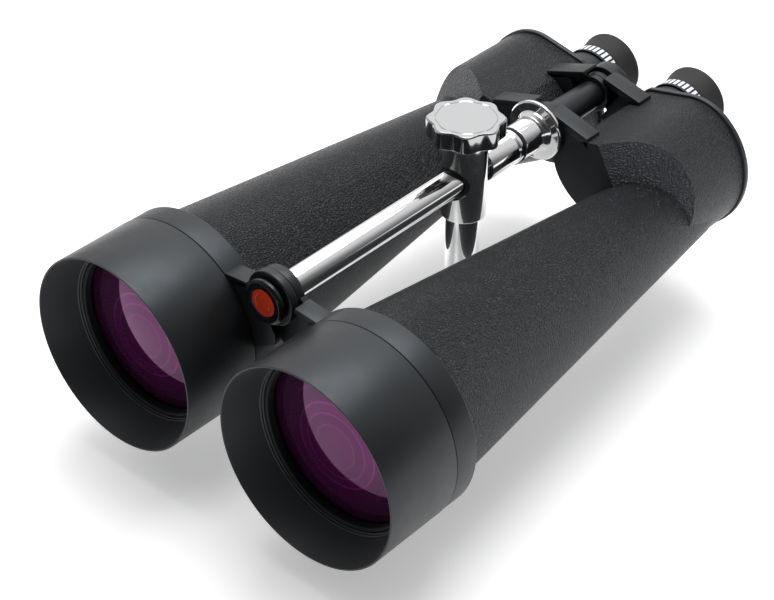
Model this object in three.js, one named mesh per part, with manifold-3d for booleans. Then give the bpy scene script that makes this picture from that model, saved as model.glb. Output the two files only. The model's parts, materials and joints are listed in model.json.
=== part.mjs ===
// Giant astronomy binoculars: two Porro halves on a common hinge, with a bridge rod
// that carries a sliding tripod adapter. Millimetres, +Z up, eyepieces towards +Y.
import * as THREE from "three";
import { mergeVertices } from "three/addons/utils/BufferGeometryUtils.js";
import Module from "manifold-3d";

const wasm = await Module();
wasm.setup();

// ---------------------------------------------------------------- driving dimensions
const GAP = 0.3; // clearance between neighbouring pieces
const LENGTH = 394; // from the hood lips to the eyecup rims
const DROOP_DEG = 32.2; // each half hangs this far below the level through the hinge
const OBJECTIVE_X = 81.9; // hinge axis to objective axis, along the half
const EYEPIECE_X = 37.5; // hinge axis to eyepiece axis, along the half

const HOOD = { lip: 57.6, radius: 57.8, bore: 56.8, throat: 50.0, depth: 22.6, rear: 49.6 };
const CELL = { outer: 53.1, seat: 49.6, shoulder: 46.5, tail: 51.2 };
const RETAINER = { outer: 49.3, inner: 47.3, front: 23.4, rear: 28.6 };
const LENS = { radius: 49.2, edge: 29.9, frontCurve: 180, meetingCurve: 210, flintRear: 44 };
const COLLAR = { front: 50.0, rear: 66.6, radius: 57.6, bore: 53.4 };

const BARREL = { front: 67, radius: 51.5, taper: 0.1028, rear: 326, tubeRear: 318 };
const WRAP = 1.0; // thickness of the leatherette
const TUBE_WALL = 2.0;

const DRUM = { x: 62, radius: 44, front: 276, rear: 350 };
const FACET = { point: [62.3, 298.6, 45], slope: [0.36, 0.67] }; // the leather slope on top
const KEEL = { x: 45, z: 2, along: 29.6, down: 19.2, rake: 0.296 }; // the raked, rounded underside
// Across the drum: a circle with a flat towards the hinge, blended into it on the upper side.
const FLAT = { deg: 134.6, blend: 32, drum: 40.2, groove: 39.6, rim: 41.4 };
const CASTING_WALL = 3.0; // from the outside of the leatherette to the prism chamber
const LIGHT_HOLE = 19;
const PRISM = { half: 27.2, width: 23, frontFace: 316, rearFace: 319 };
const SHELF = { front: 316.3, rear: 318.7, hole: 10.5 };
const COVER = { x: 61.8, radius: 45.3, groove: 43.4, front: 350.3, rim: 351.1, rear: 354.3 };
const COVER_HOLE = 16.3;

const EYEPIECE = { bore: 15.2, base: 18.6, baseRear: 369.4, ring: 19.65, ringFront: 369.8 };
const OCULAR = { outer: 14.9, inner: 13.3, front: 357.5, rear: 386.5, aperture: 9.8 };
const CUP = { front: 378.7, bore: 17.5, waist: 19.5, rim: 21.45 };

const ROD = { radius: 8.0, front: 50.3, rear: 274.0, bore: 8.3 };
const AXLE = { radius: 6.0, bore: 6.3, front: 262.3, rear: 350.3 };
const HINGE_TUBE = { front: 288.3, rear: 328.3, wide: 9.5, narrow: 8.4 };
const ARM = { front: 50.3, rear: 62, plate: 4.0, web: 4.0 };
// Knuckles along the hinge axis: each half has one at the bridge and two on its casting.
const KNUCKLES = {
  right: {
    arm: { from: 55.6, to: 61.6, radius: 15.06, webFrom: 57.6, webTo: 61.6, clear: 16.1 },
    front: { from: 274.4, to: 281.8, radius: 13.0, clear: 12.4 },
    rear: { from: 338.8, to: 348.0, radius: 13.2, clear: 11.7 },
  },
  left: {
    arm: { from: 50.3, to: 55.3, radius: 15.8, webFrom: 50.3, webTo: 54.3, clear: 15.4 },
    front: { from: 282.1, to: 288.0, radius: 12.0, clear: 13.4 },
    rear: { from: 328.6, to: 337.0, radius: 11.2, clear: 13.8 },
  },
};
// Each lug is a sloping flange over a web. A web step is [from, to, nearest to the hinge].
const LUGS = {
  right: {
    front: { from: 276, to: 288, top: [-1, 15.8, 26, 23.6], webs: [[276, 282, 8], [282, 288, 12.7]] },
    rear: { from: 330, to: 342, top: [-1, 14, 24.5, 22.4], webs: [[330, 338.5, 12.6], [338.5, 342, 8]] },
  },
  left: {
    front: { from: 276, to: 288, top: [-1, 15.8, 26, 23.6], webs: [[276, 282, 13.8], [282, 288, 7]] },
    rear: { from: 325, to: 338, top: [-3, 15.1, 24, 21.4], webs: [[325, 328.8, 9.3], [328.8, 337, 7]] },
  },
};

const ADAPTER = { y: 208.1, radius: 13.05, top: 26, step: -24.7, postRadius: 10 };
const LINER = { outer: 10.0, bore: 10.3 };
const SCREW = { radius: 4.0, bore: 4.3, tip: 10.5 };
const KNOB = { top: 37.7, bottom: 26.7, mean: 21.1, lobe: 1.3, lobes: 8, turnDeg: 40 };
const SOCKET = { radius: 3.3, outer: 6.0, depth: 12 };
const SIDES = { large: 32, medium: 20, small: 12 }; // flats round a turned piece, by its size

const droop = THREE.MathUtils.degToRad(DROOP_DEG);
const objectiveZ = -OBJECTIVE_X * Math.sin(droop);
const groundZ = objectiveZ - HOOD.radius; // the hoods and the adapter's foot stand on this
const wrapRadius = (y) => BARREL.radius - BARREL.taper * (y - BARREL.front);

// ---------------------------------------------------------------- materials
const paint = (color, roughness, metalness) =>
  new THREE.MeshStandardMaterial({ color, roughness, metalness });
const satinBlack = paint(0x2b2c2e, 0.45, 0.3);
const leatherette = paint(0x2f3033, 0.75, 0.0);
const blackMetal = paint(0x17181a, 0.6, 0.4);
const chrome = paint(0xdfe2e4, 0.08, 1.0);
const steel = paint(0x9a9c9f, 0.35, 1.0);
const rubber = paint(0x1d1d1f, 0.85, 0.0);
const coatedGlass = paint(0x5a2466, 0.05, 0.0);
const clearGlass = paint(0xb8c4c8, 0.05, 0.0);
const redInlay = paint(0xd8412a, 0.35, 0.0);
const nylon = paint(0x141416, 0.6, 0.0);

// ---------------------------------------------------------------- shape helpers
// A closed ring or a solid of revolution about Y from [radius, y] pairs.
function lathe(profile, segments = SIDES.large) {
  const onAxis = profile[0][0] === 0 && profile.at(-1)[0] === 0;
  const points = profile.map(([r, y]) => new THREE.Vector2(r, y));
  if (THREE.ShapeUtils.area(points) < 0) points.reverse();
  if (!onAxis) points.push(points[0].clone());
  return new THREE.LatheGeometry(points, segments);
}

// A tube about Y between two heights.
const tube = (outer, inner, from, to, segments) =>
  lathe([[outer, from], [outer, to], [inner, to], [inner, from]], segments);

// A full round bar about Y, moved sideways to x, z.
function bar(radius, from, to, x = 0, z = 0, segments = SIDES.large) {
  const profile = [[0, from], [radius, from], [radius, to], [0, to]];
  return lathe(profile, segments).translate(x, 0, z);
}

// An outline of [x, z] pairs, carried along Y.
function plate(outline, from, to) {
  const shape = new THREE.Shape(outline.map(([x, z]) => new THREE.Vector2(x, z)));
  const solid = new THREE.ExtrudeGeometry(shape, { depth: to - from, bevelEnabled: false });
  return solid.rotateX(Math.PI / 2).translate(0, to, 0);
}

// Points along an arc that bulges by the sag of a sphere, for a lens face.
function lensFace(radius, curve, edgeY, sign, steps = 3) {
  const sag = (r) => curve - Math.sqrt(curve * curve - r * r);
  const points = [];
  for (let i = 0; i <= steps; i += 1) {
    const r = (radius * i) / steps;
    points.push([r, edgeY + sign * (sag(radius) - sag(r))]);
  }
  return points;
}

function toSolid(geometry) {
  const bare = geometry.clone();
  bare.deleteAttribute("normal");
  bare.deleteAttribute("uv");
  const merged = mergeVertices(bare, 1e-4);
  const triangles = [];
  const index = merged.index.array;
  for (let i = 0; i < index.length; i += 3) {
    const [a, b, c] = [index[i], index[i + 1], index[i + 2]];
    if (a !== b && b !== c && c !== a) triangles.push(a, b, c);
  }
  return new wasm.Manifold(
    new wasm.Mesh({
      numProp: 3,
      vertProperties: new Float32Array(merged.attributes.position.array),
      triVerts: new Uint32Array(triangles),
    }),
  );
}

function toGeometry(solid) {
  const mesh = solid.getMesh();
  const geometry = new THREE.BufferGeometry();
  geometry.setAttribute("position", new THREE.BufferAttribute(mesh.vertProperties, 3));
  geometry.setIndex(new THREE.BufferAttribute(mesh.triVerts, 1));
  geometry.computeVertexNormals();
  return geometry;
}

// The biggest of the pieces that a cut leaves; the offcuts are dropped.
const biggest = (solid) => solid.decompose().sort((a, b) => b.volume() - a.volume())[0];
const join = (...parts) => parts.map(toSolid).reduce((sum, part) => sum.add(part));
const cut = (solid, ...tools) => tools.reduce((left, tool) => left.subtract(toSolid(tool)), solid);

function put(group, name, shape, material) {
  const geometry = shape.isBufferGeometry ? shape : toGeometry(shape);
  const mesh = new THREE.Mesh(geometry, material);
  mesh.name = name;
  group.add(mesh);
  return mesh;
}

// ---------------------------------------------------------------- objective end of a half
function addObjective(group, side) {
  const { lip, radius, bore, throat, depth, rear } = HOOD;
  const hood = lathe([
    [lip, 0.4],
    [radius, rear - 0.5],
    [radius - 0.5, rear],
    [CELL.outer + GAP, rear],
    [CELL.outer + GAP, 27.3],
    [throat, 27.3],
    [throat, depth],
    [bore, 0.4],
    [bore + 0.1, 0],
    [lip - 0.1, 0],
  ]);
  // The hood's flats are turned so that its lowest line is level with the ground.
  hood.rotateY(-droop);
  put(group, `${side}_dew_hood`, hood.translate(OBJECTIVE_X, 0, 0), satinBlack);

  const retainer = lathe([
    [RETAINER.inner, RETAINER.front + 0.8],
    [RETAINER.inner + 0.8, RETAINER.front],
    [RETAINER.outer, RETAINER.front],
    [RETAINER.outer, RETAINER.rear],
    [RETAINER.inner, RETAINER.rear],
  ], SIDES.medium);
  put(group, `${side}_lens_retainer`, retainer.translate(OBJECTIVE_X, 0, 0), blackMetal);

  const crownBack = LENS.edge + 3;
  const crown = lathe([
    ...lensFace(LENS.radius, LENS.frontCurve, LENS.edge, -1),
    ...lensFace(LENS.radius, LENS.meetingCurve, crownBack, 1).reverse(),
  ], SIDES.medium);
  put(group, `${side}_crown_lens`, crown.translate(OBJECTIVE_X, 0, 0), coatedGlass);
  const flint = lathe([
    ...lensFace(LENS.radius, LENS.meetingCurve, crownBack + GAP + 0.1, 1),
    [LENS.radius, LENS.flintRear],
    [0, LENS.flintRear],
  ], SIDES.medium);
  put(group, `${side}_flint_lens`, flint.translate(OBJECTIVE_X, 0, 0), coatedGlass);

  const cell = lathe([
    [CELL.outer - 0.1, 27.6],
    [CELL.outer - 0.1, 66.3],
    [CELL.tail, 66.3],
    [CELL.tail, 47.5],
    [CELL.shoulder, 47.5],
    [CELL.shoulder, LENS.flintRear + GAP],
    [CELL.seat, LENS.flintRear + GAP],
    [CELL.seat, 27.6],
  ]);
  put(group, `${side}_objective_cell`, cell.translate(OBJECTIVE_X, 0, 0), blackMetal);
}

// The collar round the cell, with the flanged arm that reaches to the hinge.
function addFrontArm(group, side) {
  const knuckle = KNUCKLES[side].arm;
  const collar = lathe([
    [COLLAR.bore, COLLAR.front],
    [COLLAR.radius, COLLAR.front],
    [COLLAR.radius, COLLAR.rear - 1.8],
    [COLLAR.radius - 1.8, COLLAR.rear],
    [COLLAR.bore, COLLAR.rear],
  ]).translate(OBJECTIVE_X, 0, 0);
  const top = [[13.2, 10.9], [27.5, 18.1], [29.0, 14.0], [13.2, 10.9 - ARM.plate]];
  const web = [[0, 12.5], [13.2, 10.6], [28.5, 15.5], [30.5, -25.5], [13.3, -25.9], [3.5, -14.5]];
  const body = join(
    collar,
    plate(top, ARM.front, ARM.rear),
    plate(web, knuckle.webFrom, knuckle.webTo),
    bar(knuckle.radius, knuckle.from, knuckle.to, 0, 0, SIDES.medium),
  );
  const other = KNUCKLES[side === "left" ? "right" : "left"].arm;
  const arm = cut(
    body,
    bar(COLLAR.bore, COLLAR.front - 1, COLLAR.rear + 1, OBJECTIVE_X),
    bar(ROD.bore, ARM.front - 1, ARM.rear + 1, 0, 0, SIDES.medium),
    bar(knuckle.clear, other.from - GAP, other.to + GAP + 0.1, 0, 0, SIDES.medium),
  );
  put(group, `${side}_front_arm`, arm, satinBlack);
}

// ---------------------------------------------------------------- barrel and prism casting
// A cone about the objective axis that follows the barrel's outside, moved in or out.
function barrelCone(offset, from, to) {
  const profile = [
    [0, from],
    [wrapRadius(from) + offset, from],
    [wrapRadius(to) + offset, to],
    [0, to],
  ];
  return lathe(profile).translate(OBJECTIVE_X, 0, 0);
}

// A big block that fills everything in front of the sloping facet.
function facetBlock({ point, slope }, offset) {
  const normal = new THREE.Vector3(-slope[0], 1, -slope[1]).normalize();
  const size = 240;
  const turn = new THREE.Quaternion().setFromUnitVectors(new THREE.Vector3(0, 1, 0), normal);
  const centre = new THREE.Vector3(...point).addScaledVector(normal, -size / 2 - offset);
  return new THREE.BoxGeometry(size, size, size)
    .applyQuaternion(turn)
    .translate(centre.x, centre.y, centre.z);
}

// A block under the drum: level beneath the barrel, an elliptic curve towards the hinge,
// and raked so that it falls away to the rear.
function keelBlock(offset) {
  const { x, z, along, down, rake } = KEEL;
  const outline = [];
  const steps = 6;
  for (let i = 0; i <= steps; i += 1) {
    const angle = Math.PI + (Math.PI / 2) * (i / steps);
    outline.push([x + (along + offset) * Math.cos(angle), z + (down + offset) * Math.sin(angle)]);
  }
  const floor = z - down - offset;
  outline.push([130, floor], [130, -120], [-60, -120], [-60, z]);
  const shear = new THREE.Matrix4();
  shear.set(1, 0, 0, 0, 0, 1, 0, 0, 0, -rake, 1, rake * DRUM.front, 0, 0, 0, 1);
  return plate(outline, 200, 420).applyMatrix4(shear);
}

// Outline of the drum's round with its flat at a distance from the axis, grown by an offset.
function roundWithFlat(x, radius, distance, offset = 0) {
  const facing = THREE.MathUtils.degToRad(FLAT.deg);
  const lean = Math.acos((distance - FLAT.blend) / (radius - FLAT.blend));
  const corner = Math.acos((distance + offset) / (radius + offset));
  const at = (cx, cz, r, angle) => [cx + r * Math.cos(angle), cz + r * Math.sin(angle)];
  const [blendX, blendZ] = at(x, 0, radius - FLAT.blend, facing - lean);
  const outline = [];
  const blendSteps = 5;
  for (let i = 0; i <= blendSteps; i += 1) {
    const angle = facing - lean + (lean * i) / blendSteps;
    outline.push(at(blendX, blendZ, FLAT.blend + offset, angle));
  }
  const sweep = 2 * Math.PI - lean - corner;
  const steps = 26;
  for (let i = 0; i < steps; i += 1) {
    outline.push(at(x, 0, radius + offset, facing + corner + (sweep * i) / steps));
  }
  return outline;
}

// The drum with its facet, underside and flat, grown or shrunk by an offset.
function drum(offset, rear = DRUM.rear) {
  const outline = roundWithFlat(DRUM.x, DRUM.radius, FLAT.drum, offset);
  const round = plate(outline, DRUM.front - offset, rear);
  return cut(toSolid(round), facetBlock(FACET, offset), keelBlock(offset));
}

// Flange, web and knuckle of one hinge lug, as plain geometries.
function lugParts(lug, knuckle, grow = 0) {
  const [innerX, innerZ, outerX, outerZ] = lug.top;
  const flange = [
    [innerX, innerZ + grow],
    [outerX, outerZ + grow],
    [outerX + 4, outerZ - 5.6],
    [outerX, outerZ - 4.6 - grow],
    [innerX, innerZ - 3.4 - grow],
  ];
  const webs = lug.webs.map(([from, to, near]) => {
    const web = [[near, 12 + grow], [27, 20], [30, -8], [21, -9.2 - grow], [near, -9.4 - grow]];
    return plate(web, from - grow, to + grow);
  });
  return [
    plate(flange, lug.from - grow, lug.to + grow),
    ...webs,
    bar(knuckle.radius + grow, knuckle.from - grow, knuckle.to + grow, 0, 0, SIDES.medium),
  ];
}

function addBarrelAndHousing(group, side) {
  const shell = drum(-WRAP - GAP);
  const frontLayer = DRUM.front + WRAP + 2 * GAP; // rear of the bare metal round the hinge side
  const reach = toSolid(bar(80, DRUM.front - 5, frontLayer, DRUM.x));
  const touching = drum(-WRAP).add(drum(GAP).intersect(reach));

  const tubeOuter = -WRAP - GAP;
  const sheath = toSolid(barrelCone(tubeOuter, BARREL.front - 1, BARREL.tubeRear));
  const spigot = bar(CELL.tail - GAP, 50, BARREL.front - GAP, OBJECTIVE_X);
  const barrel = cut(
    sheath.add(toSolid(spigot)),
    barrelCone(tubeOuter - TUBE_WALL, BARREL.front - 25, BARREL.tubeRear + 10),
  ).subtract(touching);
  put(group, `${side}_barrel`, barrel, blackMetal);

  const skin = cut(
    toSolid(barrelCone(0, BARREL.front, BARREL.rear)),
    barrelCone(-WRAP, BARREL.front - 5, BARREL.rear + 5),
  ).subtract(touching);
  put(group, `${side}_barrel_leatherette`, skin, leatherette);

  const { front, rear } = KNUCKLES[side];
  const facing = drum(0).subtract(
    toSolid(bar(80, DRUM.front + WRAP + GAP, DRUM.rear + 10, DRUM.x)),
  );
  const lugs = [...lugParts(LUGS[side].front, front), ...lugParts(LUGS[side].rear, rear)];
  const solid = lugs.reduce((sum, lug) => sum.add(toSolid(lug)), shell.add(facing));
  const other = KNUCKLES[side === "left" ? "right" : "left"];
  const chamber = drum(-CASTING_WALL, DRUM.rear + 10);
  const housing = cut(
    solid.subtract(chamber),
    bar(LIGHT_HOLE, DRUM.front - 20, SHELF.front, OBJECTIVE_X),
    bar(AXLE.bore, DRUM.front - 5, DRUM.rear, 0, 0, SIDES.medium),
    bar(front.clear, other.front.from - GAP, other.front.to + GAP, 0, 0, SIDES.medium),
    bar(rear.clear, other.rear.from - GAP, other.rear.to + GAP, 0, 0, SIDES.medium),
  );
  put(group, `${side}_prism_housing`, housing, satinBlack);

  const cover = drum(0, DRUM.rear - 0.4).subtract(drum(-WRAP));
  const grown = [
    ...lugParts(LUGS[side].front, front, GAP),
    ...lugParts(LUGS[side].rear, rear, GAP),
  ];
  const leather = cut(
    cover,
    bar(80, DRUM.front - 5, frontLayer, DRUM.x),
    barrelCone(GAP, DRUM.front - 20, BARREL.rear + GAP),
    ...grown,
  );
  put(group, `${side}_housing_leatherette`, biggest(leather), leatherette);
}

// ---------------------------------------------------------------- prisms, shelf and cover
// A right-angle roof prism whose long face is square to Y at y = face.
function roofPrism(centre, alongDeg, face, depthSign) {
  const apex = face + depthSign * PRISM.half;
  const outline = [[-PRISM.half, face], [PRISM.half, face], [0, apex]];
  const shape = new THREE.Shape(outline.map(([x, y]) => new THREE.Vector2(x, y)));
  const settings = { depth: PRISM.width, bevelEnabled: false };
  const prism = new THREE.ExtrudeGeometry(shape, settings).translate(0, 0, -PRISM.width / 2);
  prism.rotateY(THREE.MathUtils.degToRad(-alongDeg));
  return prism.translate(centre[0], 0, centre[1]);
}

function addPrisms(group, side) {
  const half = (OBJECTIVE_X - EYEPIECE_X) / 2;
  const middle = [OBJECTIVE_X - half, half]; // where the beam passes from prism to prism
  const midway = (x) => [(x + middle[0]) / 2, middle[1] / 2];
  const inside = drum(-CASTING_WALL - 0.4, DRUM.rear - 1);
  const rearPrism = toSolid(roofPrism(midway(OBJECTIVE_X), 135, PRISM.rearFace, 1));
  const frontPrism = toSolid(roofPrism(midway(EYEPIECE_X), 45, PRISM.frontFace, -1));
  put(group, `${side}_rear_prism`, rearPrism.intersect(inside), clearGlass);
  put(group, `${side}_front_prism`, frontPrism.intersect(inside), clearGlass);

  const sheet = toSolid(bar(DRUM.radius, SHELF.front, SHELF.rear, DRUM.x));
  const shelf = cut(
    sheet.intersect(inside),
    ...[[OBJECTIVE_X, 0], middle, [EYEPIECE_X, 0]].map(([x, z]) =>
      bar(SHELF.hole, SHELF.front - 1, SHELF.rear + 1, x, z, SIDES.small),
    ),
  );
  put(group, `${side}_prism_shelf`, shelf, steel);

  const rim = roundWithFlat(COVER.x, COVER.radius, FLAT.rim);
  const plug = roundWithFlat(COVER.x, COVER.groove, FLAT.groove);
  const hole = bar(COVER_HOLE, COVER.front - 1, COVER.rear + 1, EYEPIECE_X, 0, SIDES.medium);
  const disc = join(plate(rim, COVER.rim, COVER.rear), plate(plug, COVER.front, COVER.rim + 0.5));
  put(group, `${side}_rear_cover`, cut(disc, hole), satinBlack);
}

// ---------------------------------------------------------------- eyepiece
function addEyepiece(group, side) {
  const at = (geometry) => geometry.translate(EYEPIECE_X, 0, 0);
  const { bore, base, baseRear, ring, ringFront } = EYEPIECE;
  const body = lathe([
    [COVER_HOLE - GAP, 347],
    [COVER_HOLE - GAP, COVER.rear + GAP],
    [20.3, COVER.rear + GAP],
    [20.3, 356.4],
    [base, 357],
    [base, baseRear],
    [bore, baseRear],
    [bore, 355],
    [13.2, 355],
    [13.2, 347],
  ], SIDES.medium);
  put(group, `${side}_eyepiece_base`, at(body), satinBlack);

  const { outer, inner, front, rear, aperture } = OCULAR;
  const ocular = lathe([
    [outer, front],
    [outer, rear],
    [aperture + 1.2, rear],
    [aperture, rear - 1],
    [aperture, rear - 2.4],
    [inner, rear - 2.4],
    [inner, front],
  ], SIDES.medium);
  put(group, `${side}_ocular_tube`, at(ocular), blackMetal);
  const lens = (radius, curve, frontEdge, backEdge) =>
    lathe([
      ...lensFace(radius, curve, frontEdge, -1, 2),
      ...lensFace(radius, curve, backEdge, 1, 2).reverse(),
    ], SIDES.medium);
  put(group, `${side}_field_lens`, at(lens(inner - GAP, 45, 361, 363)), coatedGlass);
  put(group, `${side}_eye_lens`, at(lens(inner - GAP, 90, 379.5, 382.8)), coatedGlass);

  const spigot = CUP.bore - GAP;
  const focusRing = lathe([
    [base + 0.5, ringFront],
    [ring, ringFront],
    [ring, 378.4],
    [spigot, 378.4],
    [spigot, rear + 0.7],
    [bore, rear + 0.7],
    [bore, ringFront + 3.2],
    [base + 0.5, ringFront + 3.2],
  ], SIDES.medium);
  put(group, `${side}_focus_ring`, at(focusRing), satinBlack);
  const eyecup = lathe([
    [CUP.waist, CUP.front],
    [CUP.waist + 0.1, CUP.front + 3.5],
    [CUP.waist + 0.8, CUP.front + 8.5],
    [CUP.rim, LENGTH - 2.2],
    [CUP.rim, LENGTH - 0.8],
    [CUP.rim - 0.8, LENGTH],
    [CUP.rim - 1.6, LENGTH],
    [CUP.bore + 0.6, LENGTH - 5],
    [CUP.bore, LENGTH - 6],
    [CUP.bore, CUP.front],
  ], SIDES.medium);
  put(group, `${side}_eyecup`, at(eyecup), rubber);
}

function half(side) {
  const group = new THREE.Group();
  addObjective(group, side);
  addFrontArm(group, side);
  addBarrelAndHousing(group, side);
  addPrisms(group, side);
  addEyepiece(group, side);
  group.rotation.y = droop;
  return group;
}

// ---------------------------------------------------------------- hinge and bridge rod
function hinge() {
  const group = new THREE.Group();
  const stud = { radius: SCREW.radius, rear: 60 };
  const rod = lathe([
    [stud.radius + GAP, ROD.front],
    [ROD.radius, ROD.front],
    [ROD.radius, ROD.rear],
    [AXLE.bore, ROD.rear],
    [AXLE.bore, AXLE.front - GAP],
    [0, AXLE.front - GAP],
    [0, stud.rear + GAP],
    [stud.radius + GAP, stud.rear + GAP],
  ], SIDES.medium);
  put(group, "bridge_rod", rod, chrome);
  put(group, "hinge_axle", bar(AXLE.radius, AXLE.front, AXLE.rear, 0, 0, SIDES.medium), steel);
  const hingeTube = lathe([
    [HINGE_TUBE.wide, HINGE_TUBE.front],
    [HINGE_TUBE.narrow, HINGE_TUBE.rear],
    [AXLE.bore, HINGE_TUBE.rear],
    [AXLE.bore, HINGE_TUBE.front],
  ], SIDES.medium);
  put(group, "hinge_tube", hingeTube, satinBlack);

  const sleeve = lathe([
    [ROD.bore, 221.5],
    [10.3, 221.5],
    [10.3, 245.4],
    [9.7, 245.9],
    [9.7, 246.4],
    [10.4, 246.8],
    [10.4, 249.6],
    [ROD.bore, 249.6],
  ], SIDES.medium);
  put(group, "rod_sleeve", sleeve, chrome);
  put(group, "stop_ring", tube(11.0, ROD.bore, 249.9, 251.6, SIDES.medium), rubber);
  const flange = lathe([
    [ROD.bore, 251.9],
    [10.66, 251.9],
    [10.66, 268.6],
    [12.4, 270.2],
    [12.4, 271.6],
    [17.6, 271.6],
    [18.6, 272.2],
    [18.6, 274.0],
    [ROD.bore, 274.0],
  ], SIDES.medium);
  put(group, "end_flange", flange, chrome);

  const cap = lathe([
    [0, 45.9],
    [8.3, 45.9],
    [8.3, 44.9],
    [11.6, 44.9],
    [13.1, 46.2],
    [13.1, 48.2],
    [11.0, 48.2],
    [11.0, 50.0],
    [stud.radius, 50.0],
    [stud.radius, stud.rear],
    [0, stud.rear],
  ], SIDES.medium);
  put(group, "front_cap", cap, nylon);
  put(group, "cap_inlay", bar(8.0, 45.0, 45.6, 0, 0, SIDES.medium), redInlay);
  const endCap = lathe([
    [AXLE.bore, 348.3],
    [9.5, 348.3],
    [9.5, 351.8],
    [8.3, 353.0],
    [0, 353.0],
    [0, AXLE.rear + GAP],
    [AXLE.bore, AXLE.rear + GAP],
  ], SIDES.medium);
  put(group, "hinge_end_cap", endCap, satinBlack);
  return group;
}

// ---------------------------------------------------------------- tripod adapter
// Pieces that stand upright: a lathe's own axis is turned from Y to Z.
const upright = (geometry) => geometry.rotateX(Math.PI / 2);

function adapter() {
  const group = new THREE.Group();
  group.position.y = ADAPTER.y;
  const spigot = { radius: 7.0, top: -16 };
  const along = (radius) => bar(radius, -30, 30, 0, 0, SIDES.medium);
  const block = cut(
    toSolid(upright(bar(ADAPTER.radius, ADAPTER.step, ADAPTER.top, 0, 0, SIDES.medium))),
    along(LINER.bore),
    upright(bar(SCREW.bore, 0, ADAPTER.top + 1, 0, 0, SIDES.small)),
    upright(bar(spigot.radius + GAP, ADAPTER.step - 1, spigot.top + GAP, 0, 0, SIDES.medium)),
  );
  put(group, "adapter_block", block, chrome);

  const liner = cut(
    toSolid(along(LINER.outer)).intersect(
      toSolid(upright(bar(ADAPTER.radius - GAP, -20, 20, 0, 0, SIDES.medium))),
    ),
    along(ROD.bore),
  );
  put(group, "clamp_liner", liner, nylon);

  const foot = groundZ;
  const post = upright(
    lathe([
      [SOCKET.outer + GAP, foot],
      [ADAPTER.postRadius - 0.6, foot],
      [ADAPTER.postRadius, foot + 0.6],
      [ADAPTER.postRadius, ADAPTER.step - GAP],
      [spigot.radius, ADAPTER.step - GAP],
      [spigot.radius, spigot.top],
      [0, spigot.top],
      [0, foot + SOCKET.depth + 2],
      [SOCKET.outer + GAP, foot + SOCKET.depth + 2],
    ], SIDES.medium),
  );
  put(group, "adapter_post", post, chrome);
  const insertFoot = foot + 0.4;
  const insert = tube(SOCKET.outer, SOCKET.radius, insertFoot, insertFoot + SOCKET.depth, SIDES.small);
  put(group, "tripod_insert", upright(insert), steel);

  const screw = lathe([
    [0, SCREW.tip],
    [SCREW.radius - 0.8, SCREW.tip],
    [SCREW.radius, SCREW.tip + 0.8],
    [SCREW.radius, KNOB.top - 3.4],
    [0, KNOB.top - 3.4],
  ], SIDES.small);
  put(group, "clamp_screw", upright(screw), steel);

  const outline = [];
  const steps = KNOB.lobes * 8;
  for (let i = 0; i < steps; i += 1) {
    const angle = (2 * Math.PI * i) / steps;
    const phase = KNOB.lobes * (angle - THREE.MathUtils.degToRad(KNOB.turnDeg));
    const r = KNOB.mean + KNOB.lobe * Math.cos(phase);
    outline.push(new THREE.Vector2(r * Math.cos(angle), r * Math.sin(angle)));
  }
  const settings = { depth: KNOB.top - KNOB.bottom, bevelEnabled: false };
  const grip = new THREE.ExtrudeGeometry(new THREE.Shape(outline), settings);
  const knob = cut(
    toSolid(grip.translate(0, 0, KNOB.bottom)),
    upright(bar(SCREW.bore, KNOB.bottom - 1, KNOB.top - 3, 0, 0, SIDES.small)),
  );
  put(group, "clamp_knob", knob, chrome);
  return group;
}

// ---------------------------------------------------------------- assembly
const binoculars = new THREE.Group();
binoculars.name = "astronomy_binoculars";
binoculars.position.set(0, -LENGTH / 2, -groundZ);
const mirror = new THREE.Group();
mirror.scale.x = -1;
mirror.add(half("left"));
binoculars.add(half("right"), mirror, hinge(), adapter());

export default binoculars;
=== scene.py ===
"""Giant astronomy binoculars: detailed pieces and materials over the CAD frame.

Outlines are in millimetres. A turned piece is drawn as (radius, distance behind the front
face of the CAD node it stands for), so its place always comes from the frame. A plate is
drawn as (x, z) along and above a half, from the hinge axis. A piece turned about Z is drawn
with its distances going down from the top face.
"""
import json
import math

import bmesh
import bpy
from mathutils import Matrix, Vector


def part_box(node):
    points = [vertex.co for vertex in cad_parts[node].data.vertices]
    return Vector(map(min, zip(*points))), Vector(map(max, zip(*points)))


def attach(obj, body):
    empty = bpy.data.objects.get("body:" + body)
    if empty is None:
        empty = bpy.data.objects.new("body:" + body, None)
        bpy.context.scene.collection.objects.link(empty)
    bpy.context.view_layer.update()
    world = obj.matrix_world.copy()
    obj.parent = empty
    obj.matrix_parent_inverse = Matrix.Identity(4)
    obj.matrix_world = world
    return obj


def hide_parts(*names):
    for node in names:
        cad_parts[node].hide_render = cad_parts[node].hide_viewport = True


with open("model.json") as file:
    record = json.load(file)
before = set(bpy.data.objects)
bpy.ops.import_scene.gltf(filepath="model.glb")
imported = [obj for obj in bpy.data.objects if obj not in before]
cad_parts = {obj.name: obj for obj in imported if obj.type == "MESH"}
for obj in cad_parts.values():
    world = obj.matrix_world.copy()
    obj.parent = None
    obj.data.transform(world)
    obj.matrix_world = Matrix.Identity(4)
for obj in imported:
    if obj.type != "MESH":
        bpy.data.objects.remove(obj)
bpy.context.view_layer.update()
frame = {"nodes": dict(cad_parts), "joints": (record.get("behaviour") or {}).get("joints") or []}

MM = 0.001
FINE = 160  # flats round a large turned piece
MEDIUM = 96
SHARP = math.radians(32)  # edges above this angle stay crisp

SIDES = {"right": 1, "left": -1}
joint_at = {joint["name"]: joint for joint in frame["joints"]}
hinge_z = joint_at["centre_hinge"]["pos_m"][2]
front_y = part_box("right_dew_hood")[0].y


def centre_of(node):
    """The middle of a CAD node's box."""
    low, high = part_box(node)
    return (low + high) / 2


objective = centre_of("right_lens_retainer")
droop = math.atan2(hinge_z - objective.z, objective.x)


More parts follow.
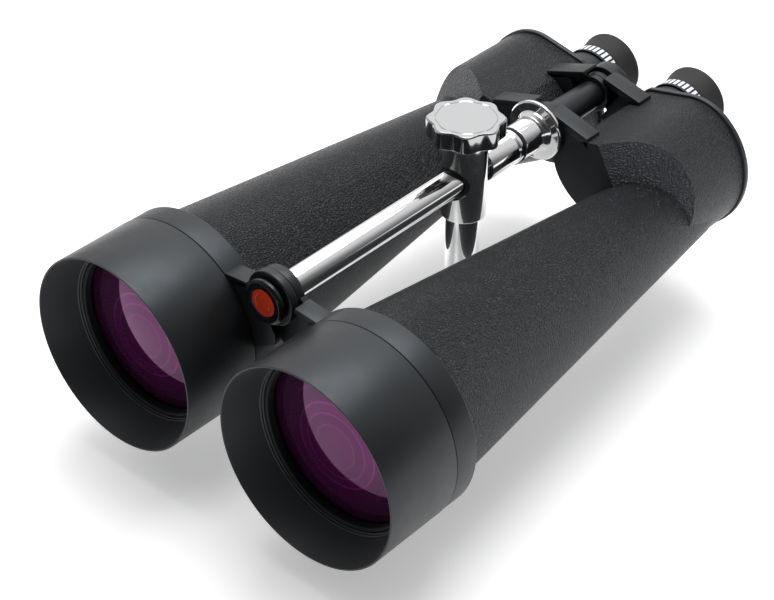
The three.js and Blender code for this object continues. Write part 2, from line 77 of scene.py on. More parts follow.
def in_half(side, x, y, z):
    """A point of a half, in mm from the hinge axis at the hood lips, in the row frame."""
    across = x * math.cos(droop) + z * math.sin(droop)
    up = z * math.cos(droop) - x * math.sin(droop)
    return Vector((SIDES[side] * across * MM, front_y + y * MM, hinge_z + up * MM))


# ------------------------------------------------------------------ camera, floor and light
CAMERA_AT = Vector((0.5942, -0.7404, 0.71284))
CAMERA_AZIMUTH = math.radians(40.91)
CAMERA_ELEVATION = math.radians(36.13)
CAMERA_ROLL = math.radians(0.38)
CAMERA_LENS = 93.85


def add_camera():
    az, el = CAMERA_AZIMUTH, CAMERA_ELEVATION
    back = Vector((math.sin(az) * math.cos(el), -math.cos(az) * math.cos(el), math.sin(el)))
    right = Vector((math.cos(az), math.sin(az), 0))
    right = math.cos(CAMERA_ROLL) * right + math.sin(CAMERA_ROLL) * back.cross(right)
    up = back.cross(right)
    data = bpy.data.cameras.new("camera")
    data.lens = CAMERA_LENS
    data.sensor_width = 36
    data.clip_end = 20
    camera = bpy.data.objects.new("camera", data)
    turn = Matrix((right, up, back)).transposed().to_4x4()
    camera.matrix_world = Matrix.Translation(CAMERA_AT) @ turn
    bpy.context.scene.collection.objects.link(camera)
    bpy.context.scene.camera = camera


FLOOR_GLOW = 0.36  # the floor paper is lit from below too, so shadows stay faint
FLOOR_HALF = 4  # metres from the middle to an edge
FLOOR_Z = -0.021  # clears the left hood when the hinge is folded all the way


def add_floor():
    bm = bmesh.new()
    bmesh.ops.create_grid(bm, x_segments=8, y_segments=8, size=FLOOR_HALF)
    mesh = bpy.data.meshes.new("floor")
    bm.to_mesh(mesh)
    bm.free()
    floor = bpy.data.objects.new("floor", mesh)
    floor.location.z = FLOOR_Z
    bpy.context.scene.collection.objects.link(floor)
    material, nodes, links, shader = new_material("floor_paper")
    coords = object_coords(nodes, links)
    fibre = add_noise(nodes, links, coords, 3, 2)
    paper = add_ramp(nodes, links, fibre, [(0.3, grey(0.89)), (0.7, grey(0.91))])
    links.new(paper, shader.inputs["Base Color"])
    shader.inputs["Roughness"].default_value = 0.9
    shader.inputs["Emission Color"].default_value = (1, 1, 1, 1)
    shader.inputs["Emission Strength"].default_value = FLOOR_GLOW
    mesh.materials.append(material)


def add_light(name, size, power, at, towards, colour=(1, 1, 1)):
    data = bpy.data.lights.new(name, "AREA")
    data.shape = "RECTANGLE"
    data.size, data.size_y = size
    data.energy = power
    data.color = colour
    light = bpy.data.objects.new(name, data)
    light.location = at
    direction = Vector(towards) - Vector(at)
    light.rotation_euler = direction.to_track_quat("-Z", "Y").to_euler()
    bpy.context.scene.collection.objects.link(light)


ROOM_BACK = Vector((-0.52, 0.61, 0.6))  # towards the bright backdrop
ROOM_STOPS = [(0.0, 0.05), (0.35, 0.04), (0.55, 0.2), (0.75, 0.7), (1.0, 0.82)]


def add_world():
    """A studio: a bright backdrop and ceiling behind, dim in front, white where seen directly."""
    world = bpy.data.worlds.new("studio")
    bpy.context.scene.world = world
    world.use_nodes = True
    nodes, links = world.node_tree.nodes, world.node_tree.links
    nodes.clear()
    output = nodes.new("ShaderNodeOutputWorld")
    coords = nodes.new("ShaderNodeTexCoord")
    facing = nodes.new("ShaderNodeVectorMath")
    facing.operation = "DOT_PRODUCT"
    links.new(coords.outputs["Generated"], facing.inputs[0])
    facing.inputs[1].default_value = ROOM_BACK.normalized()
    spread = nodes.new("ShaderNodeMapRange")
    spread.inputs["From Min"].default_value = -1
    links.new(facing.outputs["Value"], spread.inputs["Value"])
    ramp = nodes.new("ShaderNodeValToRGB")
    set_ramp(ramp, [(place, (v, v, v * 1.01, 1)) for place, v in ROOM_STOPS])
    links.new(spread.outputs[0], ramp.inputs[0])
    room = nodes.new("ShaderNodeBackground")
    links.new(ramp.outputs[0], room.inputs["Color"])
    white = nodes.new("ShaderNodeBackground")
    white.inputs["Strength"].default_value = 1.0
    path = nodes.new("ShaderNodeLightPath")
    mix = nodes.new("ShaderNodeMixShader")
    links.new(path.outputs["Is Camera Ray"], mix.inputs[0])
    links.new(room.outputs[0], mix.inputs[1])
    links.new(white.outputs[0], mix.inputs[2])
    links.new(mix.outputs[0], output.inputs["Surface"])


# ------------------------------------------------------------------ materials
def set_ramp(ramp, stops, mode="LINEAR"):
    elements = ramp.color_ramp.elements
    ramp.color_ramp.interpolation = mode
    while len(elements) > 1:
        elements.remove(elements[-1])
    elements[0].position, elements[0].color = stops[0]
    for position, colour in stops[1:]:
        elements.new(position).color = colour


def grey(value, alpha=1):
    return (value, value, value, alpha)


def new_material(name):
    material = bpy.data.materials.new(name)
    material.use_nodes = True
    nodes, links = material.node_tree.nodes, material.node_tree.links
    return material, nodes, links, nodes["Principled BSDF"]


def object_coords(nodes, links, scale=(1, 1, 1)):
    """Object coordinates, stretched; a piece's own origin is the row's, so metres."""
    coords = nodes.new("ShaderNodeTexCoord")
    mapping = nodes.new("ShaderNodeMapping")
    mapping.inputs["Scale"].default_value = scale
    links.new(coords.outputs["Object"], mapping.inputs["Vector"])
    return mapping.outputs[0]


def add_noise(nodes, links, vector, scale, detail=3, roughness=0.55):
    noise = nodes.new("ShaderNodeTexNoise")
    noise.inputs["Scale"].default_value = scale
    noise.inputs["Detail"].default_value = detail
    noise.inputs["Roughness"].default_value = roughness
    links.new(vector, noise.inputs["Vector"])
    return noise.outputs["Fac"]


def add_ramp(nodes, links, value, stops, mode="LINEAR"):
    ramp = nodes.new("ShaderNodeValToRGB")
    set_ramp(ramp, stops, mode)
    links.new(value, ramp.inputs[0])
    return ramp.outputs[0]


def add_bump(nodes, links, height, strength, distance, below=None):
    bump = nodes.new("ShaderNodeBump")
    bump.inputs["Strength"].default_value = strength
    bump.inputs["Distance"].default_value = distance
    links.new(height, bump.inputs["Height"])
    if below is not None:
        links.new(below, bump.inputs["Normal"])
    return bump.outputs[0]


def add_math(nodes, links, operation, first, second):
    """A Math node; either input may be a socket or a number."""
    node = nodes.new("ShaderNodeMath")
    node.operation = operation
    for socket, value in zip(node.inputs, (first, second)):
        if isinstance(value, (int, float)):
            socket.default_value = value
        else:
            links.new(value, socket)
    return node.outputs[0]


COOL = (0.84, 0.93, 1.0, 1)  # the blacks throw back a slightly blue gloss


def painted(name, base, spread, rough, grain=900.0, depth=0.00003):
    """Sprayed enamel: faint mottling, uneven gloss and a fine orange peel."""
    material, nodes, links, shader = new_material(name)
    vector = object_coords(nodes, links)
    cloud = add_noise(nodes, links, vector, 22, 4)
    low, high = base - spread, base + spread
    tint = [(low, low * 1.04, low * 1.14, 1), (high, high * 1.04, high * 1.13, 1)]
    colour = add_ramp(nodes, links, cloud, [(0.3, tint[0]), (0.72, tint[1])])
    links.new(colour, shader.inputs["Base Color"])
    wear = add_noise(nodes, links, vector, 70, 5, 0.7)
    gloss = add_ramp(nodes, links, wear, [(0.25, grey(rough - 0.06)), (0.8, grey(rough + 0.09))])
    links.new(gloss, shader.inputs["Roughness"])
    peel = add_noise(nodes, links, vector, grain, 2)
    links.new(add_bump(nodes, links, peel, 0.35, depth), shader.inputs["Normal"])
    shader.inputs["Specular IOR Level"].default_value = 0.42
    shader.inputs["Specular Tint"].default_value = COOL
    return material


def pebbled(name, cell, depth, base, rough, painted_crease_shade):
    """Synthetic leather: rounded pebbles of two sizes, with painted shade darkening the creases."""
    material, nodes, links, shader = new_material(name)
    vector = object_coords(nodes, links)
    warp = nodes.new("ShaderNodeTexNoise")
    warp.inputs["Scale"].default_value = 260
    warp.inputs["Detail"].default_value = 2
    links.new(vector, warp.inputs["Vector"])
    bend = nodes.new("ShaderNodeVectorMath")
    bend.operation = "MULTIPLY_ADD"
    bend.inputs[1].default_value = (cell * 1.1,) * 3
    links.new(warp.outputs["Color"], bend.inputs[0])
    links.new(vector, bend.inputs[2])
    pebbles = nodes.new("ShaderNodeTexVoronoi")
    pebbles.feature = "DISTANCE_TO_EDGE"
    pebbles.inputs["Scale"].default_value = 1 / cell
    links.new(bend.outputs[0], pebbles.inputs["Vector"])
    domes = add_ramp(nodes, links, pebbles.outputs["Distance"],
                     [(0.0, grey(0)), (0.09, grey(0.45)), (0.3, grey(1))])
    fine = add_noise(nodes, links, vector, 2.2 / cell, 3, 0.65)
    height = add_math(nodes, links, "ADD", domes, add_math(nodes, links, "MULTIPLY", fine, 0.6))
    bump = add_bump(nodes, links, height, 0.9, depth)
    links.new(bump, shader.inputs["Normal"])
    shader.inputs["Specular IOR Level"].default_value = 0.42
    shader.inputs["Specular Tint"].default_value = COOL
    patches = add_noise(nodes, links, vector, 16, 3)
    dark = add_ramp(nodes, links, patches, [(0.3, (base * 0.8, base * 0.83, base * 0.92, 1)),
                                            (0.75, (base * 1.2, base * 1.24, base * 1.38, 1))])
    # painted shade: the base colour darkens in the creases between the pebbles, standing in for the
    # shade there
    shade = add_ramp(nodes, links, domes, [(0.0, grey(painted_crease_shade)), (0.5, grey(1))])
    mix = nodes.new("ShaderNodeMix")
    mix.data_type = "RGBA"
    mix.blend_type = "MULTIPLY"
    mix.inputs["Factor"].default_value = 1
    links.new(dark, mix.inputs["A"])
    links.new(shade, mix.inputs["B"])
    links.new(mix.outputs["Result"], shader.inputs["Base Color"])
    gloss = add_ramp(nodes, links, fine, [(0.3, grey(rough - 0.07)), (0.7, grey(rough + 0.08))])
    links.new(gloss, shader.inputs["Roughness"])
    return material


def plated(name, tone, rough):
    """Bright plating with faint handling marks."""
    material, nodes, links, shader = new_material(name)
    shader.inputs["Metallic"].default_value = 1
    vector = object_coords(nodes, links)
    haze = add_noise(nodes, links, vector, 45, 5, 0.7)
    colour = add_ramp(nodes, links, haze, [(0.3, (tone * 0.97, tone * 0.98, tone, 1)),
                                           (0.7, (tone, tone, tone * 0.99, 1))])
    links.new(colour, shader.inputs["Base Color"])
    gloss = add_ramp(nodes, links, haze, [(0.35, grey(rough)), (0.8, grey(rough + 0.05))])
    links.new(gloss, shader.inputs["Roughness"])
    return material


def moulded(name, base, rough, grain, depth):
    """Moulded rubber or nylon with a fine spark-eroded grain."""
    material, nodes, links, shader = new_material(name)
    vector = object_coords(nodes, links)
    cloud = add_noise(nodes, links, vector, 40, 3)
    colour = add_ramp(nodes, links, cloud, [(0.3, (base * 0.8, base * 0.8, base * 0.84, 1)),
                                            (0.7, (base * 1.25, base * 1.25, base * 1.3, 1))])
    links.new(colour, shader.inputs["Base Color"])
    stipple = add_noise(nodes, links, vector, grain, 3, 0.7)
    gloss = add_ramp(nodes, links, stipple, [(0.3, grey(rough - 0.05)), (0.7, grey(rough + 0.08))])
    links.new(gloss, shader.inputs["Roughness"])
    links.new(add_bump(nodes, links, stipple, 0.6, depth), shader.inputs["Normal"])
    return material


def coated_glass(name, tint, metallic, rough):
    """A lens face whose anti-reflection coating throws back only violet light."""
    material, nodes, links, shader = new_material(name)
    vector = object_coords(nodes, links)
    cloud = add_noise(nodes, links, vector, 30, 2)
    low = tuple(0.75 * c for c in tint)
    colour = add_ramp(nodes, links, cloud, [(0.35, (*low, 1)), (0.7, (*tint, 1))])
    links.new(colour, shader.inputs["Base Color"])
    shader.inputs["Metallic"].default_value = metallic
    film = add_noise(nodes, links, vector, 260, 4, 0.7)
    gloss = add_ramp(nodes, links, film, [(0.4, grey(rough)), (0.8, grey(rough + 0.03))])
    links.new(gloss, shader.inputs["Roughness"])
    return material


# Painted reflections: rings drawn into the glass's colour where the cells behind it would show, as
# (radius in mm, brightness against the plain coating).
PAINTED_GLASS_REFLECTIONS = [
    (0, 1.05), (12.0, 1.05), (12.6, 1.7), (13.4, 1.0), (18.4, 0.95), (19.0, 2.0), (19.8, 1.1),
    (24.2, 1.15), (24.8, 2.4), (25.6, 0.9), (33.0, 0.85), (33.6, 1.3), (34.4, 0.8), (47.3, 0.55),
]


COATING = (0.088, 0.008, 0.07)


def lens_glass(side):
    """The objective's coating: violet, with the rings of the cells behind it painted in as
    reflections.
    """
    material, nodes, links, shader = new_material(f"{side}_objective_glass")
    axis = in_half(side, OBJECTIVE_X, 0, 0)
    vector = object_coords(nodes, links, (1, 0, 1))
    offset = nodes.new("ShaderNodeVectorMath")
    offset.operation = "DISTANCE"
    links.new(vector, offset.inputs[0])
    offset.inputs[1].default_value = (axis.x, 0, axis.z)
    radius = add_math(nodes, links, "DIVIDE", offset.outputs["Value"], PAINTED_GLASS_REFLECTIONS[-1][0] * MM)
    brightest = max(value for _, value in PAINTED_GLASS_REFLECTIONS)
    # painted reflection: the rings brighten the coating's colour by radius
    rings = add_ramp(nodes, links, radius, [(r / PAINTED_GLASS_REFLECTIONS[-1][0], grey(v / brightest))
                                            for r, v in PAINTED_GLASS_REFLECTIONS])
    tint = nodes.new("ShaderNodeMix")
    tint.data_type = "RGBA"
    tint.blend_type = "MULTIPLY"
    tint.inputs["Factor"].default_value = 1
    tint.inputs["A"].default_value = (*(brightest * c for c in COATING), 1)
    links.new(rings, tint.inputs["B"])
    links.new(tint.outputs["Result"], shader.inputs["Base Color"])
    shader.inputs["Metallic"].default_value = 0.55
    film = add_noise(nodes, links, object_coords(nodes, links), 260, 4, 0.7)
    gloss = add_ramp(nodes, links, film, [(0.4, grey(0.03)), (0.8, grey(0.06))])
    links.new(gloss, shader.inputs["Roughness"])
    return material


def clear_glass(name, tint):
    material, nodes, links, shader = new_material(name)
    vector = object_coords(nodes, links)
    cloud = add_noise(nodes, links, vector, 30, 2)
    dim = tuple(0.96 * c for c in tint)
    links.new(add_ramp(nodes, links, cloud, [(0.3, (*dim, 1)), (0.7, (*tint, 1))]),
              shader.inputs["Base Color"])
    film = add_noise(nodes, links, vector, 260, 4, 0.7)
    links.new(add_ramp(nodes, links, film, [(0.4, grey(0.015)), (0.9, grey(0.05))]),
              shader.inputs["Roughness"])
    shader.inputs["Transmission Weight"].default_value = 1
    shader.inputs["IOR"].default_value = 1.52
    return material


# ------------------------------------------------------------------ mesh helpers
def rounded(outline, closed, steps=4):
    """Turns (u, v, radius) corners into arcs; (u, v) corners stay sharp."""
    points = []
    count = len(outline)
    for i, (u, v, *fillet) in enumerate(outline):
        corner = Vector((u, v))
        if not fillet or (not closed and i in (0, count - 1)):
            points.append(corner)
            continue
        before = Vector(outline[i - 1][:2]) - corner
        after = Vector(outline[(i + 1) % count][:2]) - corner
        half = before.angle(after) / 2
        reach = min(fillet[0] / math.tan(half), 0.48 * before.length, 0.48 * after.length)
        start = corner + before.normalized() * reach
        end = corner + after.normalized() * reach
        middle = corner + (before.normalized() + after.normalized()).normalized() * (
            reach / math.cos(half)
        )
        first, last = start - middle, end - middle
        turn = math.atan2(first.x * last.y - first.y * last.x, first.dot(last))
        for step in range(steps + 1):
            angle = turn * step / steps
            points.append(middle + Matrix.Rotation(angle, 2) @ first)
    return points


def finish_mesh(bm, name, material, merge=1e-6):
    """Outward normals, crisp edges above SHARP, smooth elsewhere; returns the object."""
    bmesh.ops.remove_doubles(bm, verts=bm.verts, dist=merge)
    bmesh.ops.recalc_face_normals(bm, faces=bm.faces)
    for face in bm.faces:
        face.smooth = True
    for edge in bm.edges:
        if edge.is_manifold and edge.calc_face_angle(0) > SHARP:
            edge.smooth = False
    mesh = bpy.data.meshes.new(name)
    bm.to_mesh(mesh)
    bm.free()
    mesh.materials.append(material)
    piece = bpy.data.objects.new(name, mesh)
    bpy.context.scene.collection.objects.link(piece)
    return piece


def spin(bm, points, place, sides, closed, wave=None):
    """Adds a surface of revolution. place(radius, along, angle) gives a point in metres."""
    rings = []
    for radius, along in points:
        if radius < 1e-6:
            rings.append([bm.verts.new(place(0, along, 0))])
            continue
        ring = []
        for k in range(sides):
            angle = 2 * math.pi * k / sides
            r = radius + (wave(radius, angle) if wave else 0)
            ring.append(bm.verts.new(place(r, along, angle)))
        rings.append(ring)
    pairs = list(zip(rings, rings[1:]))
    if closed:
        pairs.append((rings[-1], rings[0]))
    for a, b in pairs:
        for k in range(sides):
            n = (k + 1) % sides
            corners = [a[k % len(a)], a[n % len(a)], b[n % len(b)], b[k % len(b)]]
            unique = list(dict.fromkeys(corners))
            if len(unique) > 2:
                bm.faces.new(unique)


def turned_mesh(bm, node, outline, sides=FINE, wave=None, upright=False, steps=4):
    """A turned shape about Y (or Z) through the middle of a CAD node."""
    low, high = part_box(node)
    middle = (low + high) / 2
    on_axis = outline[0][0] == 0 and outline[-1][0] == 0
    points = rounded(outline, not on_axis, steps)

    def place(radius, along, angle):
        r = radius * MM
        cos, sin = r * math.cos(angle), r * math.sin(angle)
        if upright:
            return (middle.x + cos, middle.y + sin, high.z - along * MM)
        return (middle.x + sin, low.y + along * MM, middle.z + cos)

    spin(bm, points, place, sides, not on_axis, wave)


def lens_face(edge, curve, steps):
    """(radius, distance behind the crown) along a lens face; curve is its radius."""
    radii = [edge * i / steps for i in range(steps + 1)]
    return [(r, curve - math.sqrt(curve ** 2 - r ** 2)) for r in radii]


def turned(name, node, outline, material, body, **settings):
    """A turned piece that replaces a CAD node and rides on its body."""
    bm = bmesh.new()
    turned_mesh(bm, node, outline, **settings)
    piece = finish_mesh(bm, name, material)
    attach(piece, body)
    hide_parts(node)
    return piece


def slab(bm, side, outline, front, rear, bevel):
    """A plate of a half: an (x, z) outline carried from front to rear, with rounded edges."""
    part = bmesh.new()
    vertices = [part.verts.new(in_half(side, x, front, z)) for x, z in outline]
    face = part.faces.new(vertices)
    extruded = bmesh.ops.extrude_face_region(part, geom=[face])
    moved = [v for v in extruded["geom"] if isinstance(v, bmesh.types.BMVert)]
    bmesh.ops.translate(part, verts=moved, vec=(0, (rear - front) * MM, 0))
    bmesh.ops.recalc_face_normals(part, faces=part.faces)
    bmesh.ops.bevel(part, geom=part.edges[:], offset=bevel * MM, segments=3, profile=0.5,
                    affect="EDGES", clamp_overlap=True)
    add_to(bm, part)


def add_to(bm, part):
    """Moves one bmesh's contents into another."""
    mesh = bpy.data.meshes.new("part")
    part.to_mesh(mesh)
    part.free()
    bm.from_mesh(mesh)
    bpy.data.meshes.remove(mesh)


def ring_mesh(bm, side, x, outline, sides=MEDIUM):
    """A turned ring of a half about the Y axis at x along it; outline in (radius, y)."""
    spin(bm, rounded(outline, True), about_y(side, x), sides, True)


def band(outer, inner, front, rear, fillet):
    return [(outer, front, fillet), (outer, rear, fillet), (inner, rear), (inner, front)]


# ------------------------------------------------------------------ objective end
OBJECTIVE_X = 81.9
CROWN = {"edge": 49.2, "curve": 180.0, "edge_thickness": 2.9}
LINING_FROM, LINING_WITHIN = 0.6, 57.2  # the hood's black lining: behind the lip, inside the rim


def add_objective(side):
    half = f"{side}_half"
    hood = [
        (57.75, 0, 0.3), (57.8, 24), (57.8, 49.6, 0.5), (53.4, 49.6), (53.4, 27.3), (49.9, 27.3),
        (49.9, 23.6, 0.2), (50.5, 23.2, 0.2), (50.5, 22.2, 0.2), (51.1, 21.8, 0.2), (56.8, 0, 0.3),
    ]
    piece = turned(f"{side}_dew_hood", f"{side}_dew_hood", hood, satin, half)
    axis = in_half(side, OBJECTIVE_X, 0, 0)
    lip = front_y + LINING_FROM * MM

    def inside(centre, normal):
        outward = Vector((centre.x - axis.x, 0, centre.z - axis.z))
        faces_in = normal.dot(outward) <= 1e-9
        return centre.y > lip and outward.length < LINING_WITHIN * MM and faces_in

    paint_faces(piece, hood_lining, inside)
    retainer = [
        (47.3, 0.8, 0.2), (47.9, 0, 0.2), (48.6, 0, 0.15), (48.7, 0.4), (49.3, 0.4, 0.1),
        (49.3, 5.2), (47.3, 5.2, 0.3),
    ]
    turned(f"{side}_lens_retainer", f"{side}_lens_retainer", retainer, flat_black, half)
    face = lens_face(CROWN["edge"], CROWN["curve"], 28)
    back = face[-1][1] + CROWN["edge_thickness"]
    rim = [(CROWN["edge"], back), (0, back)]
    turned(f"{side}_crown_lens", f"{side}_crown_lens", [*face, *rim], crown_glass[side], half)


def add_bridge_arm(side):
    """Collar round the objective cell, and the arm that reaches to the bridge knuckle."""
    bm = bmesh.new()
    collar = [
        (53.4, 50.0), (57.6, 50.0, 0.4), (57.6, 64.6, 0.5), (55.6, 66.6, 0.5), (53.4, 66.6),
    ]
    ring_mesh(bm, side, OBJECTIVE_X, collar, FINE)
    piece = finish_mesh(bm, f"{side}_collar", satin)
    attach(piece, f"{side}_half")
    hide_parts(f"{side}_front_arm")

    front, rear, radius, web_front, web_rear = BRIDGE[side]
    bm = bmesh.new()
    slab(bm, side, [(13.4, 11.0), (28.2, 18.4), (29.5, 14), (14.7, 7.7)], 50.3, 62, 0.45)
    web = [(9.5, 10.8), (13.4, 10.2), (29, 15.5), (31, -25.3), (13.3, -25.9), (9.5, -20.5)]
    slab(bm, side, web, web_front, web_rear, 0.4)
    ring_mesh(bm, side, 0, band(radius, 8.3, front, rear, 0.7))
    arm = finish_mesh(bm, f"{side}_bridge_arm", satin)
    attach(arm, f"{side}_half")


# front, rear, radius, and the web's front and rear, of each half's knuckle at the bridge
BRIDGE = {"right": (55.6, 61.6, 15.06, 57.6, 61.6), "left": (50.3, 55.3, 15.8, 50.3, 54.3)}


# ------------------------------------------------------------------ barrel and housing
BARREL = {"front": 67.0, "radius": 51.5, "taper": 0.1028, "rear": 324.0}
DRUM = {"x": 62.0, "radius": 44.0, "front": 276.0, "rear": 349.6}
FACET = {"point": (62.3, 298.6, 45), "slope": (0.36, 0.67)}  # y on it rises along x and z
# the underside: level beneath the barrel, an elliptic curve towards the hinge, raked
KEEL = {"x": 45.0, "z": 2.0, "along": 29.6, "down": 19.2, "rake": 0.296}
KEEL_REACH = (200, 420)  # the cutting block runs past both ends of the drum
# across the drum: a circle with a flat towards the hinge, blended in on the upper side
FLAT = {"facing": math.radians(134.6), "blend": 32.0}
FLAT_AT = {"drum": 40.2, "groove": 39.6, "rim": 41.4}  # its distance from the drum's axis

# Hinge lugs: the flange's front, rear, top line (x, z, x, z) and underside over the hinge;
# web steps (front, rear, nearest to the hinge); and the knuckle (front, rear, radius).
HINGE_LUGS = {
    "right": [
        ((276, 288), (-1, 15.8, 26, 23.6), 12.9, [(276, 282, 8), (282, 288, 12.9)],
         (274.4, 281.8, 13.0)),
        ((330, 342), (-1, 14, 24.5, 22.4), 11.9, [(330, 338.5, 12.8), (338.5, 342, 8)],
         (338.8, 348, 13.2)),
    ],
    "left": [
        ((276, 288), (-1, 15.8, 26, 23.6), 13.9, [(276, 282, 14), (282, 288, 7)],
         (282.1, 288, 12.0)),
        ((325, 338), (-3, 15.1, 24, 21.4), 13.2, [(325, 328.8, 9.5), (328.8, 337, 7)],
         (328.6, 337, 11.2)),
    ],
}


FLANGE_THICK = 4.6
KNEE = 5  # the flange's underside is level up to this x, then rises
WEB_IN_DRUM = [(27, 20.5), (32, -8), (21, -9.2)]  # the corners hidden inside the drum
WEB_UNDERSIDE = -9.4
WEB_LAP = 0.9  # a web's top runs this far into the flange
WEB_SETBACK = 0.1  # and its front stays behind the drum's front face
KNUCKLE_BORE = 6.3
GROOVED_BELOW = 11.5  # the smallest knuckle has a groove round it
SQUARE_ON = 0.97  # faces within about 14 degrees of a direction face it


def add_barrel(side):
    front, rear = BARREL["front"], BARREL["rear"]
    end_radius = BARREL["radius"] - BARREL["taper"] * (rear - front)
    bm = bmesh.new()
    skin = [
        (BARREL["radius"] - 1, front), (BARREL["radius"], front, 0.4), (end_radius, rear),
        (end_radius - 1, rear),
    ]
    spin(bm, rounded(skin, True), about_y(side, OBJECTIVE_X), FINE, True)
    piece = finish_mesh(bm, f"{side}_barrel_leather", leather)
    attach(piece, f"{side}_half")
    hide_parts(f"{side}_barrel_leatherette")
    add_seam(side)


SEAM = {"angle": math.radians(-61), "width": 0.55, "proud": 0.08, "rear": 296.0}


def add_seam(side):
    """The joint where the wrap's two edges meet, along the top of the barrel."""
    angle, half_width = SEAM["angle"], SEAM["width"] / 2
    bm = bmesh.new()
    rows = []
    for y in (BARREL["front"] + 0.4, SEAM["rear"]):
        surface = BARREL["radius"] - BARREL["taper"] * (y - BARREL["front"])
        row = []
        for across, up in ((-1, -0.6), (1, -0.6), (1, SEAM["proud"]), (-1, SEAM["proud"])):
            r, aside = surface + up, across * half_width
            x = OBJECTIVE_X + r * math.sin(angle) + aside * math.cos(angle)
            z = r * math.cos(angle) - aside * math.sin(angle)
            row.append(bm.verts.new(in_half(side, x, y, z)))
        rows.append(row)
    for row in rows:
        bm.faces.new(row)
    for k in range(4):
        bm.faces.new((rows[0][k], rows[0][(k + 1) % 4], rows[1][(k + 1) % 4], rows[1][k]))
    piece = finish_mesh(bm, f"{side}_barrel_seam", flat_black)
    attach(piece, f"{side}_half")


def about_y(side, x):
    """place() for spin: a radius, a y and an angle about an axis of a half."""
    axis = in_half(side, x, 0, 0)

    def place(radius, along, angle):
        r = radius * MM
        return (axis.x + r * math.sin(angle), front_y + along * MM, axis.z + r * math.cos(angle))

    return place


def slice_off(bm, side, point, outward):
    """Cuts a convex mesh at a plane of a half and closes it; outward points off the piece."""
    normal = in_half(side, *outward) - in_half(side, 0, 0, 0)
    cut = bmesh.ops.bisect_plane(
        bm, geom=[*bm.verts, *bm.edges, *bm.faces], plane_co=in_half(side, *point),
        plane_no=normal, clear_outer=True, dist=1e-7,
    )
    rim = [e for e in cut["geom_cut"] if isinstance(e, bmesh.types.BMEdge)]
    bmesh.ops.contextual_create(bm, geom=rim)


def round_with_flat(x, radius, distance):
    """Outline across the drum or its cover, as (x, z) points of a half."""
    facing, blend = FLAT["facing"], FLAT["blend"]
    lean = math.acos((distance - blend) / (radius - blend))
    corner = math.acos(distance / radius)

    def at(cx, cz, r, angle):
        return cx + r * math.cos(angle), cz + r * math.sin(angle)

    blend_at = at(x, 0, radius - blend, facing - lean)
    blend_steps, steps = 24, 132
    sweep = 2 * math.pi - lean - corner
    outline = [at(*blend_at, blend, facing - lean + lean * k / blend_steps)
               for k in range(blend_steps + 1)]
    outline += [at(x, 0, radius, facing + corner + sweep * k / steps) for k in range(steps)]
    return outline


def prism_mesh(side, outline, front, rear, rake=0.0):
    """An (x, z) outline of a half carried from front to rear, sinking by rake behind the drum."""
    bm = bmesh.new()
    ends = []
    for y in (front, rear):
        drop = rake * (y - DRUM["front"])
        ends.append([bm.verts.new(in_half(side, u, y, w - drop)) for u, w in outline])
    for face in ends:
        bm.faces.new(face)
    count = len(outline)
    for k in range(count):
        n = (k + 1) % count
        bm.faces.new((ends[0][k], ends[0][n], ends[1][n], ends[1][k]))
    bmesh.ops.recalc_face_normals(bm, faces=bm.faces)
    return bm


def keel_tool(side):
    """The block that cuts the rounded, raked underside."""
    x, z = KEEL["x"], KEEL["z"]
    outline = []
    steps = 24
    for k in range(steps + 1):
        angle = math.pi * (1 + 0.5 * k / steps)
        outline.append((x + KEEL["along"] * math.cos(angle), z + KEEL["down"] * math.sin(angle)))
    outer, inner, bottom = 130, -60, -120
    outline += [(outer, z - KEEL["down"]), (outer, bottom), (inner, bottom), (inner, z)]
    bm = prism_mesh(side, outline, *KEEL_REACH, rake=KEEL["rake"])
    return finish_mesh(bm, "tool", satin)


def soften(piece, offset, above=22):
    """Rounds every edge of a mesh that turns by more than some degrees."""
    material = piece.data.materials[0]
    bm = bmesh.new()
    bm.from_mesh(piece.data)
    bmesh.ops.remove_doubles(bm, verts=bm.verts, dist=2e-5)
    corners = [e for e in bm.edges if e.is_manifold and e.calc_face_angle(0) > math.radians(above)]
    bmesh.ops.bevel(bm, geom=corners, offset=offset * MM, segments=3, profile=0.5,
                    affect="EDGES", clamp_overlap=True)
    name = piece.name
    bpy.data.objects.remove(piece)
    return finish_mesh(bm, name, material)


def paint_faces(piece, material, chosen):
    """Gives the faces that chosen(centre, normal) accepts another material."""
    piece.data.materials.append(material)
    index = len(piece.data.materials) - 1
    for face in piece.data.polygons:
        if chosen(face.center, face.normal):
            face.material_index = index


def add_housing(side):
    outline = round_with_flat(DRUM["x"], DRUM["radius"], FLAT_AT["drum"])
    bm = prism_mesh(side, outline, DRUM["front"], DRUM["rear"])
    slope_x, slope_z = FACET["slope"]
    slice_off(bm, side, FACET["point"], (slope_x, -1, slope_z))
    piece = finish_mesh(bm, f"{side}_housing_leather", housing_leather[side])
    boolean(piece, keel_tool(side), "DIFFERENCE")
    piece = soften(piece, 0.7)
    facing = (in_half(side, -slope_x, 1, -slope_z) - in_half(side, 0, 0, 0)).normalized()
    # painted light: the faces square to the facet take the lighter copy of the leather
    paint_faces(piece, painted_light_facet_leather[side],
                lambda centre, normal: normal.dot(facing) < -SQUARE_ON)
    # The faces looking straight forward are bare casting, given the darker flat black partly as
    # painted shade for the shade they lie in
    paint_faces(piece, flat_black, lambda centre, normal: normal.y < -SQUARE_ON)
    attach(piece, f"{side}_half")
    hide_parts(f"{side}_housing_leatherette", f"{side}_prism_housing")
    add_hinge_lugs(side)


